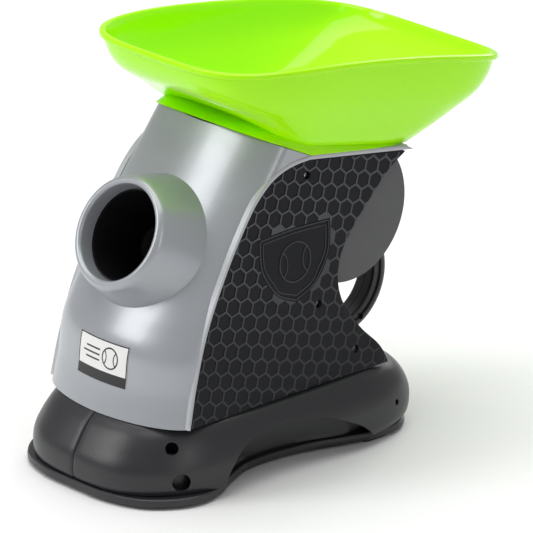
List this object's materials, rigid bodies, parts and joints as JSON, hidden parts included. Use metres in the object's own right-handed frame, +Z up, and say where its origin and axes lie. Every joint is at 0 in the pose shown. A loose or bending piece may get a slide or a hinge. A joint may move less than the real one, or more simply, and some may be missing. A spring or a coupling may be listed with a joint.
{
  "type": "automatic tennis-ball launcher",
  "caption": "Battery-powered launcher that takes tennis balls from a lift-off bowl on top, drops one through a rotor and throws it from an upward-pointing barrel.",
  "frame": {"origin": "on the ground, under the middle of the bounding box", "axes": "+Z up; +Y to the rear, so the barrel throws towards -Y and up; +X to the launcher's own left-hand side"},
  "size_m": [0.187, 0.3626, 0.3131],
  "materials": {
    "lime_plastic": "glossy translucent moulding",
    "silver_plastic": "satin silver paint",
    "trim_silver": "satin light grey",
    "black_plastic": "fine-grained satin black",
    "graphite_plastic": "matt dark grey",
    "base_plastic": "satin near-black",
    "rubber": "matt",
    "steel": "plated",
    "brass": "turned",
    "label_white": "printed sheet, no text",
    "circuit_green": "solder mask",
    "cell_skin": "sleeved can",
    "led_green": "clear lens"
  },
  "bodies": {
    "housing": {"ball_sensor": "circuit_green", "battery_holder": "black_plastic", "battery_left_1": "cell_skin", "battery_left_2": "cell_skin", "battery_left_3": "cell_skin", "battery_right_1": "cell_skin", "battery_right_2": "cell_skin", "battery_right_3": "cell_skin", "bottom_pan": "base_plastic", "chassis_bridge": "steel", "chassis_plate_left": "black_plastic", "chassis_plate_right": "black_plastic", "circuit_board": "circuit_green", "control_panel": "base_plastic", "dc_inlet": "black_plastic", "drum_cap_left": "graphite_plastic", "drum_cap_right": "graphite_plastic", "drum_shell": "graphite_plastic", "feed_motor": "steel", "foot_front_left": "rubber", "foot_front_right": "rubber", "foot_rear_left": "rubber", "foot_rear_right": "rubber", "front_label": "label_white", "front_shell": "silver_plastic", "handle_half_left": "base_plastic", "handle_half_right": "base_plastic", "launch_tube": "black_plastic", "panel_screw_left_1": "steel", "panel_screw_left_2": "steel", "panel_screw_left_3": "steel", "panel_screw_right_1": "steel", "panel_screw_right_2": "steel", "panel_screw_right_3": "steel", "pusher_solenoid": "steel", "range_led_1": "led_green", "range_led_2": "led_green", "range_led_3": "led_green", "rear_cover": "base_plastic", "side_panel_left": "black_plastic", "side_panel_right": "black_plastic", "skirt_left": "base_plastic", "skirt_right": "base_plastic", "speaker": "black_plastic", "top_deck": "trim_silver", "wheel_motor_left": "steel", "wheel_motor_right": "steel"},
    "feed_rotor": {"ball_rotor": "graphite_plastic", "rotor_gear": "trim_silver"},
    "drive_pinion": {"motor_pinion": "brass"},
    "throwing_wheel_left": {"wheel_hub_left": "graphite_plastic", "wheel_tyre_left": "rubber"},
    "throwing_wheel_right": {"wheel_hub_right": "graphite_plastic", "wheel_tyre_right": "rubber"},
    "pusher": {"ball_pusher": "graphite_plastic"},
    "power_key": {"power_button": "lime_plastic"},
    "range_key": {"range_button": "trim_silver"},
    "ball_hopper": {"hopper": "lime_plastic"},
    "door": {"battery_door": "base_plastic"}
  },
  "joints": [
    {"name": "rotor_turn", "type": "hinge", "parent": "housing", "child": "feed_rotor", "pos_m": [0, 0.0344, 0.1787], "axis": [1, 0, 0], "range_deg": [0, 150]},
    {"name": "pinion_turn", "type": "hinge", "parent": "housing", "child": "drive_pinion", "pos_m": [0, 0.0719, 0.1787], "axis": [1, 0, 0], "range_deg": [-467, 0]},
    {"name": "wheel_left_spin", "type": "hinge", "parent": "housing", "child": "throwing_wheel_left", "pos_m": [0.048, -0.07049, 0.15237], "axis": [0, 0.4726, 0.8813], "continuous": true},
    {"name": "wheel_right_spin", "type": "hinge", "parent": "housing", "child": "throwing_wheel_right", "pos_m": [-0.048, -0.07049, 0.15237], "axis": [0, 0.4726, 0.8813], "continuous": true},
    {"name": "pusher_stroke", "type": "slide", "parent": "housing", "child": "pusher", "axis": [0, -0.8813, 0.4726], "range_m": [0, 0.02], "stiffness_N_per_m": 60, "springref_m": -0.001},
    {"name": "power_press", "type": "slide", "parent": "housing", "child": "power_key", "axis": [0, -1, 0], "range_m": [0, 0.0018], "stiffness_N_per_m": 500, "springref_m": -0.0002},
    {"name": "range_press", "type": "slide", "parent": "housing", "child": "range_key", "axis": [0, -1, 0], "range_m": [0, 0.0018], "stiffness_N_per_m": 500, "springref_m": -0.0002},
    {"name": "hopper_lift", "type": "slide", "parent": "housing", "child": "ball_hopper", "axis": [0, 0, 1], "range_m": [0, 0.06]},
    {"name": "door_release", "type": "slide", "parent": "housing", "child": "door", "axis": [0, 0, -1], "range_m": [0, 0.03]}
  ],
  "couplings": [
    {"joint": "pinion_turn", "follows": "rotor_turn", "ratio": -3.1111},
    {"joint": "wheel_right_spin", "follows": "wheel_left_spin", "ratio": -1}
  ]
}
